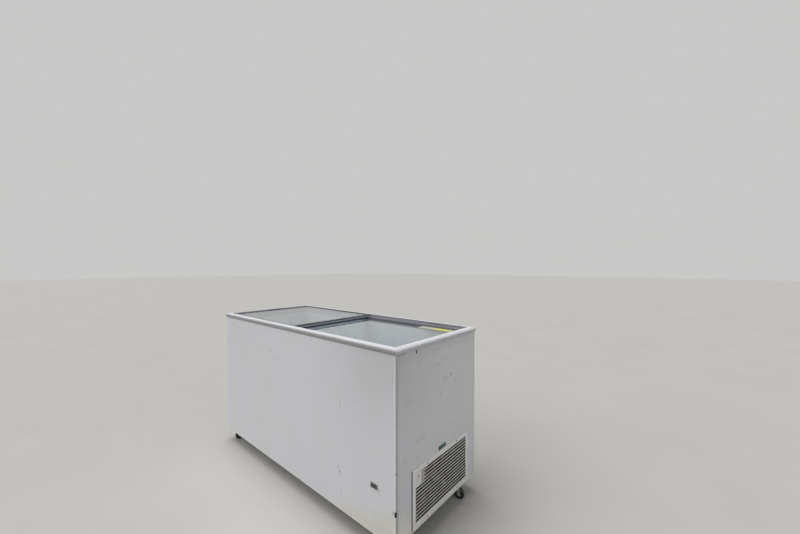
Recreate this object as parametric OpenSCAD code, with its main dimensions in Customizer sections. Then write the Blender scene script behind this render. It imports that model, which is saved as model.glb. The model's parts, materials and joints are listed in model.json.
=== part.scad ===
// Chest freezer with two sliding glass lids, standing on four swivel castors
// X runs along the cabinet, Y from the front wall to the rear wall, Z up from the floor.
// The origin is on the floor under the middle of the cabinet. The machine end is at +X.

/* [Cabinet] */
// Length of the steel body along X
body_length = 1525; // [1400:5:1700]
// Depth of the steel body along Y
body_depth = 630; // [610:5:720]
// Height of the rim's top above the floor
rim_top = 850; // [780:5:920]
// Height of the body's lower edge above the floor
body_bottom = 83; // [80:1:100]
// Thickness of the insulated walls, steel to liner
wall = 65; // [60:1:75]
// Thickness of the outer steel sheet
skin = 1; // [0.8:0.1:1.5]
// Outer radius of the folded vertical corners
corner_radius = 5; // [3:0.5:10]
// How far the long panels fold round onto the ends
corner_return = 16; // [10:1:25]
// Width of the fold under the panels' lower edges
bottom_fold = 15; // [12:1:20]
// Width of the seam between a long panel and an end panel
seam = 0.8; // [0.4:0.1:1.5]

/* [Tank] */
// Thickness of the liner sheet
liner = 1.2; // [0.8:0.1:2]
// Radius of the liner's vertical corners
liner_radius = 14; // [6:1:24]
// Place along X of the deep tank's wall beside the machine bay
step_x = 420; // [360:5:460]
// Height of the step over the machine bay
step_z = 395; // [370:5:440]

/* [Rim] */
// How far the rim's nose stands out from the body
rim_overhang = 4.5; // [2:0.5:7]
// Height of the rim's full-round nose
rim_height = 28; // [26:1:32]
// Width of the rim's flat top and nose inside the body's face
rim_width = 25.5; // [22:0.5:28]
// Width of the ledge that carries the upper lid
upper_ledge = 14.5; // [12:0.5:16]
// Width of the ledge that carries the lower lid
lower_ledge = 16; // [12:0.5:18]
// Wall thickness of the rim section
rim_wall = 2.5; // [1.8:0.1:3]

/* [Lids] */
// Height of the lids' rails
lid_height = 13; // [12:0.5:14]
// Thickness of the glass
glass = 4; // [3:0.5:5]
// Width of the side rails
side_rail = 12; // [11:0.5:14]
// Width of the rail where the two lids meet
meeting_rail = 22; // [18:1:30]
// Width of the rail with the finger pull
handle_rail = 38; // [34:1:46]
// Gap between the two lids, and round their edges
lid_gap = 5; // [5:0.5:6]
// Sliding clearance under the rails
slide_gap = 0.4; // [0.2:0.1:1]
// How far the lids reach past each other at rest
lid_overlap = 40; // [30:1:60]
// Length along Y of the trough for the fingers
pull_length = 116; // [90:2:160]
// Width of the trough
pull_width = 22; // [18:1:26]

/* [Vent grille] */
// Distance of the grille's frame from the front face of the body
grille_start = 100; // [90:1:120]
// Outer width of the grille's frame
grille_width = 446; // [420:1:450]
// Outer height of the grille's frame
grille_height = 244; // [230:1:248]
// Height of the grille's lower edge above the floor
grille_bottom = 93; // [92:1:98]
// Width of the frame beside and above the louvres
grille_border = 20; // [18:1:24]
// Width of the frame below the louvres
grille_foot = 25; // [20:1:28]
// Number of louvre blades
louvre_count = 13; // [10:1:15]
// Number of columns between the vertical ribs
grille_columns = 6; // [4:1:8]
// Front height of a louvre blade
louvre_face = 6.4; // [4:0.2:8]
// Depth of a louvre blade
louvre_depth = 4.5; // [4:0.5:6]
// Side of the blank plate in the grille's upper corner
blank_plate = 60; // [50:1:66]

/* [Display window] */
// Distance of the window's middle from the machine end
display_inset = 116.5; // [90:0.5:140]
// Height of the window's middle above the floor
display_z = 278.5; // [240:0.5:300]
// Width of the window's bezel
display_width = 43; // [36:1:60]
// Height of the window's bezel
display_height = 25; // [20:1:32]

/* [Castors] */
// Diameter of the wheels
wheel_diameter = 50; // [46:1:52]
// Width of the wheels
wheel_width = 20; // [16:1:22]
// Height of a castor from the floor to its plate's top
castor_height = 65; // [64:1:68]
// Horizontal distance from the swivel to the axle
castor_trail = 30; // [28:1:34]
// Distance of the machine end's swivels from the end face
castor_inset_right = 53.5; // [40:0.5:80]
// Distance of the other end's swivels from the end face
castor_inset_left = 72.5; // [60:0.5:110]
// Distance of the machine end's swivels from the long faces
castor_inset_right_y = 123; // [80:1:130]
// Distance of the other end's swivels from the long faces
castor_inset_left_y = 86; // [80:1:120]
// Direction from the swivel to the axle of the front castor at -X
heading_front_left = -114; // [-180:1:180]
// The same for the front castor of the machine end
heading_front_right = -63; // [-180:1:180]
// The same for the rear castor at -X
heading_rear_left = -88; // [-180:1:180]
// The same for the rear castor of the machine end
heading_rear_right = 15; // [-180:1:180]

/* [Hidden] */
$fn = 64;

// Body
half_x = body_length / 2;
half_y = body_depth / 2;
nose_radius = rim_height / 2;
nose_z = rim_top - nose_radius;
nose_low = rim_top - rim_height;
panel_gap = 0.3;
panel_top = nose_z - panel_gap - sqrt(pow(nose_radius, 2) - pow(nose_radius - rim_overhang - skin, 2));
frame_depth = 50;
frame_bottom = rim_top - frame_depth;
pan_sheet = 1.2;
pan_bottom = body_bottom + skin;
foam_bottom = pan_bottom + pan_sheet;
foam_top = frame_bottom - liner;

// Tank, whose inner faces are a wall's thickness inside the body
tank_x = half_x - wall;
tank_y = half_y - wall;
tank_floor = body_bottom + wall;
bulkhead = 60;
bay_x = step_x + liner + bulkhead;
bay_top = step_z - liner - bulkhead;

// Rim section, measured inwards from the body's face. Its skirt clears the sheet's rounded corners.
skirt = corner_radius - (corner_radius - skin) / sqrt(2) + 0.2;
upper_ledge_end = rim_width + upper_ledge;
lower_ledge_end = upper_ledge_end + lower_ledge;
upper_lid_z = rim_top - 2 - lid_height;
lower_lid_z = upper_lid_z - lid_gap - lid_height;
upper_ledge_z = upper_lid_z - slide_gap;
lower_ledge_z = lower_lid_z - slide_gap;

// Lids: the upper one lies at -X, the lower one at +X
upper_lid_x = half_x - rim_width - lid_gap;
upper_lid_y = half_y - rim_width - lid_gap;
lower_lid_x = half_x - upper_ledge_end - lid_gap;
lower_lid_y = half_y - upper_ledge_end - lid_gap;
meeting_x = 10;
glass_grip = 8;
glass_lift = 7;

// Grille
grille_front = half_x + 4;
grille_back = half_x - 9;
blank_hole = 5;

// Castors
castor_plate_side = 50;
plate_sheet = 2.5;
race_height = 4;
crown_sheet = 3;
cheek_sheet = 2.5;
kingpin = 8;
axle = 8;
pin_gap = 0.3;
crown_top = castor_height - plate_sheet - race_height;
crown_bottom = crown_top - crown_sheet;
fork_gap = 1.5;
rail_width = 52;
rail_sheet = 2;
rail_length = body_depth - 70;

// Flat outlines

module rounded_rect(x, y, r) {
    square([x, y - 2 * r], center = true);
    square([x - 2 * r, y], center = true);
    for (sx = [-1, 1], sy = [-1, 1])
        translate([sx * (x / 2 - r), sy * (y / 2 - r)])
            circle(r);
}

// The body seen from above, drawn in by an inset
module body_outline(inset = 0) {
    rounded_rect(body_length - 2 * inset, body_depth - 2 * inset, corner_radius - inset);
}

module block(low, high) {
    translate(low)
        cube(high - low);
}

// Outer panels

module long_panel() {
    translate([0, 0, body_bottom]) {
        linear_extrude(panel_top - body_bottom)
            intersection() {
                difference() {
                    body_outline();
                    body_outline(skin);
                }
                translate([-half_x, -half_y])
                    square([body_length, corner_return]);
            }
        linear_extrude(skin)
            intersection() {
                body_outline();
                translate([-half_x, -half_y])
                    square([body_length, bottom_fold]);
            }
    }
}

module front_panel() {
    cutout = [display_width - 6, 3 * skin, display_height - 6];
    color("gainsboro")
        difference() {
            long_panel();
            translate([half_x - display_inset, -half_y, display_z])
                cube(cutout, center = true);
        }
}

module rear_panel() {
    color("gainsboro")
        mirror([0, 1, 0])
            long_panel();
}

module end_panel() {
    side_y = half_y - max(corner_return, bottom_fold) - seam;
    block([half_x - skin, -side_y, body_bottom], [half_x, side_y, panel_top]);
    block([half_x - bottom_fold, -side_y, body_bottom], [half_x, side_y, body_bottom + skin]);
}

module left_end_panel() {
    color("gainsboro")
        mirror([1, 0, 0])
            end_panel();
}

module right_end_panel() {
    lap = 10;
    low = grille_start - half_y + lap;
    color("silver")
        difference() {
            end_panel();
            block(
                [half_x - 3 * skin, low, grille_bottom + lap],
                [half_x + skin, low + grille_width - 2 * lap, grille_bottom + grille_height - lap]
            );
        }
}

// Floor sheets and castor rails

module floor_sheet(x_low, x_high) {
    translate([0, 0, pan_bottom])
        linear_extrude(pan_sheet)
            intersection() {
                body_outline(skin);
                translate([x_low, -half_y])
                    square([x_high - x_low, body_depth]);
            }
}

module base_pan() {
    color("darkgray")
        floor_sheet(-half_x, bay_x);
}

module machine_tray() {
    slot_length = 90;
    slot_width = 8;
    slot_pitch = 24;
    slot_rows = [-150, 0, 150];
    color("darkgray")
        difference() {
            floor_sheet(bay_x, half_x);
            for (row_y = slot_rows, i = [0 : 4])
                translate([bay_x + 60 + i * slot_pitch, row_y, pan_bottom + pan_sheet / 2])
                    cube([slot_width, slot_length, 3 * pan_sheet], center = true);
        }
}

// A channel with its web down, to which the castor plates are bolted
module castor_rail(x) {
    top = pan_bottom;
    low = [x - rail_width / 2, -rail_length / 2, castor_height];
    high = [x + rail_width / 2, rail_length / 2, top];
    color("dimgray")
        difference() {
            block(low, high);
            block(low + [rail_sheet, -1, rail_sheet], high + [-rail_sheet, 1, 1]);
        }
}

castor_x_left = castor_inset_left - half_x;
castor_x_right = half_x - castor_inset_right;
castor_y_left = half_y - castor_inset_left_y;
castor_y_right = half_y - castor_inset_right_y;

module castor_rail_left() {
    castor_rail(castor_x_left);
}

module castor_rail_right() {
    castor_rail(castor_x_right);
}

// Insulation, one slab a wall, kept inside the sheet's rounded corners
module insulation(low, high) {
    color("khaki")
        translate([0, 0, low.z])
            linear_extrude(high.z - low.z)
                intersection() {
                    body_outline(skin);
                    translate([low.x, low.y])
                        square([high.x - low.x, high.y - low.y]);
                }
}

tank_out_x = tank_x + liner;
tank_out_y = tank_y + liner;

module insulation_long() {
    difference() {
        insulation([-half_x, -half_y, foam_bottom], [half_x, -tank_out_y, foam_top]);
        block([bay_x, -half_y, 0], [half_x, 0, bay_top]);
    }
}

module insulation_front() {
    insulation_long();
}

module insulation_rear() {
    mirror([0, 1, 0])
        insulation_long();
}

module insulation_left() {
    insulation([-half_x, -tank_out_y, foam_bottom], [-tank_out_x, tank_out_y, foam_top]);
}

module insulation_right() {
    insulation([tank_out_x, -tank_out_y, bay_top], [half_x, tank_out_y, foam_top]);
}

module insulation_floor() {
    insulation([-tank_out_x, -tank_out_y, foam_bottom], [step_x + liner, tank_out_y, tank_floor - liner]);
}

module insulation_bulkhead() {
    insulation([step_x + liner, -tank_out_y, foam_bottom], [bay_x, tank_out_y, step_z - liner]);
}

module insulation_step() {
    insulation([bay_x, -tank_out_y, bay_top], [tank_out_x, tank_out_y, step_z - liner]);
}

// The liner: a deep tank, a shallow part over the machine bay and a flange under the rim

module tank_space(grow, top) {
    deep_x = step_x + tank_x + 2 * grow;
    radius = liner_radius + grow;
    translate([(step_x - tank_x) / 2, 0, tank_floor - grow])
        linear_extrude(step_z - tank_floor + grow + 1)
            rounded_rect(deep_x, 2 * (tank_y + grow), radius);
    translate([0, 0, step_z - grow])
        linear_extrude(top - step_z + grow)
            rounded_rect(2 * (tank_x + grow), 2 * (tank_y + grow), radius);
}

module tank_liner() {
    color("whitesmoke")
        difference() {
            union() {
                tank_space(liner, frame_bottom);
                translate([0, 0, foam_top])
                    linear_extrude(liner)
                        body_outline(skin);
            }
            tank_space(0, frame_bottom + 1);
        }
}

// Rim: one hollow section, mitred at the corners. Its full-round nose is white outside the
// body, and two ledges inside carry the lids.

module rim_section() {
    centre = nose_radius - rim_overhang;
    difference() {
        union() {
            translate([centre, nose_z])
                circle(nose_radius);
            translate([centre, nose_low])
                square([rim_width - centre, rim_height]);
            translate([skirt, frame_bottom])
                square([upper_ledge_end - skirt, upper_ledge_z - frame_bottom]);
            translate([skirt, frame_bottom])
                square([lower_ledge_end - skirt, lower_ledge_z - frame_bottom]);
        }
        rim_chambers(centre);
    }
}

// Hollows of the section, between its walls and webs
module rim_chambers(centre) {
    web_z = nose_low + rim_wall;
    base_z = frame_bottom + rim_wall;
    translate([centre, nose_z])
        circle(nose_radius - rim_wall);
    translate([centre, web_z])
        square([rim_width - rim_wall - centre, rim_height - 2 * rim_wall]);
    translate([rim_width, web_z])
        square([upper_ledge - rim_wall, upper_ledge_z - rim_wall - web_z]);
    translate([skirt + rim_wall, base_z])
        square([upper_ledge_end - skirt - 2 * rim_wall, nose_low - base_z]);
    translate([upper_ledge_end, base_z])
        square([lower_ledge - rim_wall, lower_ledge_z - rim_wall - base_z]);
}

// A mitred length of the section along the face at -Y of a body of this size
module frame_member(reach_x, reach_y) {
    out = 20;
    inner = lower_ledge_end + out;
    color("white")
        intersection() {
            translate([-reach_x - out, -reach_y, 0])
                rotate([90, 0, 90])
                    linear_extrude(2 * (reach_x + out))
                        rim_section();
            translate([0, 0, frame_bottom - out])
                linear_extrude(frame_depth + 2 * out)
                    polygon([
                        [-reach_x - out, -reach_y - out],
                        [reach_x + out, -reach_y - out],
                        [reach_x - inner, -reach_y + inner],
                        [-reach_x + inner, -reach_y + inner]
                    ]);
        }
}

module top_frame_front() {
    frame_member(half_x, half_y);
}

module top_frame_rear() {
    rotate([0, 0, 180])
        frame_member(half_x, half_y);
}

module top_frame_left() {
    rotate([0, 0, -90])
        frame_member(half_y, half_x);
}

module top_frame_right() {
    rotate([0, 0, 90])
        frame_member(half_y, half_x);
}

// Vent grille, drawn with its width along X and its height along Y, facing up

module louvre() {
    taper = 0.8;
    polygon([[0, 0], [0, louvre_face], [louvre_depth, louvre_face - taper], [louvre_depth, taper]]);
}

module grille_flat() {
    open_x = grille_width - 2 * grille_border;
    open_y = grille_height - grille_border - grille_foot;
    gap = (open_y - louvre_count * louvre_face) / (louvre_count + 1);
    pitch = gap + louvre_face;
    lap = 9;
    column = open_x / grille_columns;
    face = grille_front - half_x;
    depth = grille_front - grille_back;
    rib = 3;
    blank_y = 4 * pitch + 0.5;
    difference() {
        union() {
            translate([0, 0, depth - face])
                linear_extrude(face)
                    translate([grille_width / 2, grille_height / 2])
                        rounded_rect(grille_width, grille_height, 6);
            translate([grille_border - lap, grille_foot - lap, 0])
                cube([open_x + 2 * lap, open_y + 2 * lap, depth - face]);
        }
        translate([grille_border, grille_foot, -1])
            cube([open_x, open_y, depth + 2]);
    }
    translate([grille_border, grille_foot, 0]) {
        for (i = [0 : louvre_count - 1])
            translate([0, i * pitch + gap, depth - 1.5])
                rotate([0, 90, 0])
                    linear_extrude(open_x)
                        louvre();
        for (i = [1 : grille_columns - 1])
            translate([i * column - rib / 2, 0, 1])
                cube([rib, open_y, depth - 4]);
        difference() {
            translate([0, open_y - blank_y, 2])
                cube([blank_plate, blank_y, depth - 3]);
            translate([17, open_y - 14, 0])
                cylinder(d = blank_hole, h = depth + 1, $fn = 24);
        }
    }
}

module vent_grille() {
    color("ivory")
        translate([grille_back, grille_start - half_y, grille_bottom])
            rotate([90, 0, 90])
                grille_flat();
}

// Display window

module display_window() {
    bezel = 1.5;
    lens = 2.5;
    color("black")
        translate([half_x - display_inset, -half_y, display_z])
            rotate([90, 0, 0])
                difference() {
                    union() {
                        linear_extrude(bezel)
                            rounded_rect(display_width, display_height, 2);
                        translate([0, 0, -8])
                            linear_extrude(8)
                                square([display_width - 7, display_height - 7], center = true);
                    }
                    translate([0, 0, bezel - 1])
                        linear_extrude(2)
                            square([display_width - 2 * lens, display_height - 2 * lens], center = true);
                }
}

// Lids. A lid is drawn with its outer end at -X; the right lid is the mirror of the left.
// Each has a height z, an outer end at -reach, an inner end and a half width.

module rail_groove(reach, inner, half_w, z) {
    block(
        [-reach + handle_rail - glass_grip, -half_w + side_rail - glass_grip + 1, z + glass_lift],
        [inner - meeting_rail + glass_grip, half_w - side_rail + glass_grip - 1, z + glass_lift + glass]
    );
}

module lid_glass(reach, inner, half_w, z) {
    color("lightblue", 0.4)
        rail_groove(reach, inner, half_w, z);
}

module lid_side_rail(reach, inner, half_w, z) {
    color("dimgray")
        difference() {
            block(
                [-reach + handle_rail, -half_w, z],
                [inner - meeting_rail, -half_w + side_rail, z + lid_height]
            );
            rail_groove(reach, inner, half_w, z);
        }
}

module lid_meeting_rail(reach, inner, half_w, z) {
    color("dimgray")
        difference() {
            block([inner - meeting_rail, -half_w, z], [inner, half_w, z + lid_height]);
            rail_groove(reach, inner, half_w, z);
        }
}

// The outer rail, with a trough for the fingers
module lid_handle_rail(reach, inner, half_w, z) {
    trough_depth = 8;
    outer_lip = 5;
    color("dimgray")
        difference() {
            block([-reach, -half_w, z], [-reach + handle_rail, half_w, z + lid_height]);
            rail_groove(reach, inner, half_w, z);
            translate([-reach + outer_lip + pull_width / 2, 0, z + lid_height - trough_depth])
                linear_extrude(trough_depth + 1)
                    rounded_rect(pull_width, pull_length, pull_width / 2 - 0.5);
        }
}

module lid_left_glass() {
    lid_glass(upper_lid_x, meeting_x, upper_lid_y, upper_lid_z);
}

module lid_left_front_rail() {
    lid_side_rail(upper_lid_x, meeting_x, upper_lid_y, upper_lid_z);
}

module lid_left_rear_rail() {
    mirror([0, 1, 0])
        lid_left_front_rail();
}

module lid_left_handle_rail() {
    lid_handle_rail(upper_lid_x, meeting_x, upper_lid_y, upper_lid_z);
}

module lid_left_meeting_rail() {
    lid_meeting_rail(upper_lid_x, meeting_x, upper_lid_y, upper_lid_z);
}

right_inner = lid_overlap - meeting_x;

module lid_right_glass() {
    mirror([1, 0, 0])
        lid_glass(lower_lid_x, right_inner, lower_lid_y, lower_lid_z);
}

module lid_right_front_rail() {
    mirror([1, 0, 0])
        lid_side_rail(lower_lid_x, right_inner, lower_lid_y, lower_lid_z);
}

module lid_right_rear_rail() {
    mirror([0, 1, 0])
        lid_right_front_rail();
}

module lid_right_handle_rail() {
    mirror([1, 0, 0])
        lid_handle_rail(lower_lid_x, right_inner, lower_lid_y, lower_lid_z);
}

module lid_right_meeting_rail() {
    mirror([1, 0, 0])
        lid_meeting_rail(lower_lid_x, right_inner, lower_lid_y, lower_lid_z);
}

// Castors, drawn about the swivel's axis with the wheel trailing towards +X

module castor_plate() {
    hole_pitch = 38;
    head = 15;
    color("silver")
        difference() {
            union() {
                translate([0, 0, castor_height - plate_sheet])
                    linear_extrude(plate_sheet)
                        rounded_rect(castor_plate_side, castor_plate_side, 6);
                translate([0, 0, crown_top + 0.5])
                    cylinder(d1 = 34, d2 = 40, h = race_height - 0.5);
                translate([0, 0, crown_bottom - 2.5])
                    cylinder(d = kingpin, h = race_height + crown_sheet + 3);
                translate([0, 0, crown_bottom - 3])
                    cylinder(d = head, h = 2.5);
            }
            for (sx = [-1, 1], sy = [-1, 1])
                translate([sx * hole_pitch / 2, sy * hole_pitch / 2, castor_height - 2 * plate_sheet])
                    cylinder(d = 6.5, h = 3 * plate_sheet);
        }
}

module fork_cheek() {
    foot = 9;
    side = foot - 0.2;
    axle_z = wheel_diameter / 2;
    polygon([
        [-15, crown_top], [25, crown_top], [castor_trail + 5, crown_top - 8],
        [castor_trail + side, axle_z], [castor_trail - side, axle_z],
        [castor_trail - 11, crown_top - 17], [castor_trail - 19, crown_bottom - 5], [-15, crown_bottom]
    ]);
    translate([castor_trail, axle_z])
        circle(foot);
}

module castor_fork() {
    inside = wheel_width / 2 + fork_gap;
    crown_r = 19;
    color("silver") {
        difference() {
            union() {
                translate([0, 0, crown_bottom])
                    cylinder(r = crown_r, h = crown_sheet);
                for (side = [0, 1])
                    mirror([0, side, 0])
                        translate([0, inside + cheek_sheet, 0])
                            rotate([90, 0, 0])
                                linear_extrude(cheek_sheet)
                                    fork_cheek();
            }
            translate([0, 0, crown_bottom - 1])
                cylinder(d = kingpin + 2 * pin_gap, h = crown_sheet + 2);
        }
        translate([castor_trail, 0, wheel_diameter / 2])
            rotate([90, 0, 0])
                cylinder(d = axle, h = 2 * (inside + cheek_sheet) + 5, center = true);
    }
}

module castor_wheel() {
    tread = wheel_diameter / 2;
    edge = 3;
    hub = 9;
    half_w = wheel_width / 2;
    web = half_w - 4;
    bore = axle / 2 + pin_gap;
    color("black")
        translate([castor_trail, 0, tread])
            rotate([90, 0, 0])
                rotate_extrude()
                    polygon([
                        [bore, -half_w], [hub, -half_w], [hub + 1, -web], [tread - 7, -web],
                        [tread - 6, -half_w], [tread - edge, -half_w], [tread, edge - half_w],
                        [tread, half_w - edge], [tread - edge, half_w], [tread - 6, half_w],
                        [tread - 7, web], [hub + 1, web], [hub, half_w], [bore, half_w]
                    ]);
}

// Carries a castor part to a corner. The plates stay square to the cabinet.
module at_corner(x, y, heading = 0) {
    translate([x, y, 0])
        rotate([0, 0, heading])
            children();
}

module at_front_left(heading = 0) {
    at_corner(castor_x_left, -castor_y_left, heading) children();
}

module at_front_right(heading = 0) {
    at_corner(castor_x_right, -castor_y_right, heading) children();
}

module at_rear_left(heading = 0) {
    at_corner(castor_x_left, castor_y_left, heading) children();
}

module at_rear_right(heading = 0) {
    at_corner(castor_x_right, castor_y_right, heading) children();
}

module castor_plate_front_left() { at_front_left() castor_plate(); }
module castor_plate_front_right() { at_front_right() castor_plate(); }
module castor_plate_rear_left() { at_rear_left() castor_plate(); }
module castor_plate_rear_right() { at_rear_right() castor_plate(); }
module castor_fork_front_left() { at_front_left(heading_front_left) castor_fork(); }
module castor_fork_front_right() { at_front_right(heading_front_right) castor_fork(); }
module castor_fork_rear_left() { at_rear_left(heading_rear_left) castor_fork(); }
module castor_fork_rear_right() { at_rear_right(heading_rear_right) castor_fork(); }
module castor_wheel_front_left() { at_front_left(heading_front_left) castor_wheel(); }
module castor_wheel_front_right() { at_front_right(heading_front_right) castor_wheel(); }
module castor_wheel_rear_left() { at_rear_left(heading_rear_left) castor_wheel(); }
module castor_wheel_rear_right() { at_rear_right(heading_rear_right) castor_wheel(); }

front_panel();
rear_panel();
left_end_panel();
right_end_panel();
base_pan();
machine_tray();
castor_rail_left();
castor_rail_right();
insulation_front();
insulation_rear();
insulation_left();
insulation_right();
insulation_floor();
insulation_bulkhead();
insulation_step();
tank_liner();
top_frame_front();
top_frame_rear();
top_frame_left();
top_frame_right();
vent_grille();
display_window();
lid_left_glass();
lid_left_front_rail();
lid_left_rear_rail();
lid_left_handle_rail();
lid_left_meeting_rail();
lid_right_glass();
lid_right_front_rail();
lid_right_rear_rail();
lid_right_handle_rail();
lid_right_meeting_rail();
castor_plate_front_left();
castor_plate_front_right();
castor_plate_rear_left();
castor_plate_rear_right();
castor_fork_front_left();
castor_fork_front_right();
castor_fork_rear_left();
castor_fork_rear_right();
castor_wheel_front_left();
castor_wheel_front_right();
castor_wheel_rear_left();
castor_wheel_rear_right();
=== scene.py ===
"""Looks of the chest freezer with sliding glass lids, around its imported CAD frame."""

import json
import math

import bmesh
import bpy
from mathutils import Matrix, Vector


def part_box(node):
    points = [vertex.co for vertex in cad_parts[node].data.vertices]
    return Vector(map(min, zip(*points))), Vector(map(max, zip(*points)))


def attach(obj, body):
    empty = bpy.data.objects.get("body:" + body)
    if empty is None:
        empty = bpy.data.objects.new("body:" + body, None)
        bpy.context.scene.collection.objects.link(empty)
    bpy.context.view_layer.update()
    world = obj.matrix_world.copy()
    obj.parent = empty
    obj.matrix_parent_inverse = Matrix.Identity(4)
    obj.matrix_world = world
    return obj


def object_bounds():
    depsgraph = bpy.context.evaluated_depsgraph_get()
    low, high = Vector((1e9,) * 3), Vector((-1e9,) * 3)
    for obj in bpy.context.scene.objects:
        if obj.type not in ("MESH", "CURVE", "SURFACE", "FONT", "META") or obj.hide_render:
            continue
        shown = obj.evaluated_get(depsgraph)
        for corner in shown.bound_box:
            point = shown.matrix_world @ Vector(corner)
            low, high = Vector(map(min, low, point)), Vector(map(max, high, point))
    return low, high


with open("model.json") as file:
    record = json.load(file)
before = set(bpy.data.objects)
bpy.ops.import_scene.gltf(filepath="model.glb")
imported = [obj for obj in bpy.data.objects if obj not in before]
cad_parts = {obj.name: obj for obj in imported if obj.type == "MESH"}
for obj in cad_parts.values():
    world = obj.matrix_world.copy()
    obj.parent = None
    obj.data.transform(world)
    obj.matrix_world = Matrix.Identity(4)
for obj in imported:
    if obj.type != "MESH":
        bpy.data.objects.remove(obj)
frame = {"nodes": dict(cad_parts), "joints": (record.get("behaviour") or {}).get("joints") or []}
cad_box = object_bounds()

JOINTS = {joint["name"]: joint for joint in frame["joints"]}
CORNERS = ("front_left", "front_right", "rear_left", "rear_right")

# Places from the frame, in metres
PANEL_LOW, PANEL_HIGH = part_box("front_panel")
HALF_X = PANEL_HIGH.x
HALF_Y = -PANEL_LOW.y
BODY_BOTTOM = PANEL_LOW.z
PANEL_TOP = PANEL_HIGH.z
RIM_TOP = cad_box[1].z
GRILLE_LOW, GRILLE_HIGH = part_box("vent_grille")
BAY_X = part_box("insulation_bulkhead")[1].x
BAY_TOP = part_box("insulation_step")[0].z

# The rim: how far inwards its white part goes, and the height below which each side's nose gets painted
# shade
RIM_INNER = 0.0255
NOSE_END_SHADE_LINE = RIM_TOP - 0.009
NOSE_LONG_SHADE_LINE = RIM_TOP - 0.004

# The grille's blank plate: the darker strip by its far edge, from the front and in height, and its hole
BLANK_DARK_STRIP = 0.169
BLANK_DARK_STRIP_LOW = 0.258
BLANK_DARK_STRIP_TOP = 0.320
BLANK_HOLE = (0.139, 0.302)

# The main colours, linear. Those of smaller effects stand in the functions that use them.
WHITE_PAINT = (0.78, 0.785, 0.81)
# Grey of the painted shade under the rim and towards the machine end's front corner
PAINTED_SHADE_GREY = (0.42, 0.42, 0.43)
RIM_WHITE = (0.92, 0.925, 0.965)
# Painted shade on the lower part of the rim's nose, for the long sides and for the ends
NOSE_LONG_SHADE_GREY = (0.33, 0.325, 0.33)
NOSE_END_SHADE_GREY = (0.56, 0.56, 0.57)
TRACK_GREY = (0.35, 0.355, 0.39)
RAIL_GREY = (0.10, 0.105, 0.13)
PALE_RAIL = (0.80, 0.81, 0.86)
# Painted light: the lower lid's meeting rail made paler so that the upper rail's shadow on it reads lighter
RAIL_PAINTED_LIGHT = (0.24, 0.245, 0.27)
GRILLE_WHITE = (0.93, 0.92, 0.90)
STAIN_LONG = (0.755, 0.735, 0.66)
STAIN_END = (0.92, 0.90, 0.81)
GRIME = (0.42, 0.37, 0.28)
DUST = (0.26, 0.24, 0.20)
SCUFF = (0.36, 0.36, 0.37)
PRIMER = (0.16, 0.16, 0.155)
# Soot and painted shade: the machine bay and the grille's slots made near black
SOOT_AND_SHADE = (0.018, 0.016, 0.014)

# Marks on a long side, measured from the machine end, and on an end, measured from the front:
# how far along and how high, half width and half height, and strength
FRONT_MARKS = (
    ((0.936, 0.690), (0.006, 0.013), 0.35),
    ((0.902, 0.658), (0.004, 0.014), 0.45),
    ((0.853, 0.660), (0.005, 0.013), 0.45),
    ((0.331, 0.553), (0.005, 0.016), 0.40),
    ((0.345, 0.264), (0.006, 0.010), 0.45),
    ((0.331, 0.251), (0.012, 0.006), 0.65),
    ((0.324, 0.167), (0.007, 0.009), 0.30),
    ((0.255, 0.102), (0.009, 0.006), 0.45),
    ((0.091, 0.271), (0.0026, 0.013), 0.80),
    ((0.082, 0.119), (0.010, 0.005), 0.60),
    ((0.012, 0.216), (0.012, 0.010), 0.55),
)
END_MARKS = (
    # The first end mark, under the rim by the front corner, is dirt and painted shadow of the rim
    ((0.031, 0.822), (0.030, 0.004), 0.90),
    ((0.150, 0.800), (0.012, 0.008), 0.22),
    ((0.150, 0.768), (0.024, 0.010), 0.16),
    ((0.275, 0.728), (0.040, 0.009), 0.18),
    ((0.345, 0.745), (0.020, 0.016), 0.15),
    ((0.389, 0.796), (0.008, 0.013), 0.34),
    ((0.395, 0.660), (0.013, 0.010), 0.38),
    ((0.345, 0.653), (0.022, 0.010), 0.26),
    ((0.432, 0.625), (0.010, 0.016), 0.20),
    ((0.311, 0.590), (0.014, 0.022), 0.14),
    ((0.070, 0.627), (0.022, 0.020), 0.14),
    ((0.173, 0.444), (0.026, 0.012), 0.18),
    ((0.135, 0.447), (0.018, 0.012), 0.14),
    ((0.058, 0.397), (0.016, 0.016), 0.18),
    ((0.143, 0.372), (0.013, 0.009), 0.16),
)
# Paint chips down the machine end's front corner: height, half height and strength
CORNER_CHIPS = ((0.2140, 0.0130, 1.0), (0.370, 0.004, 0.3))


# Node helpers


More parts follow.
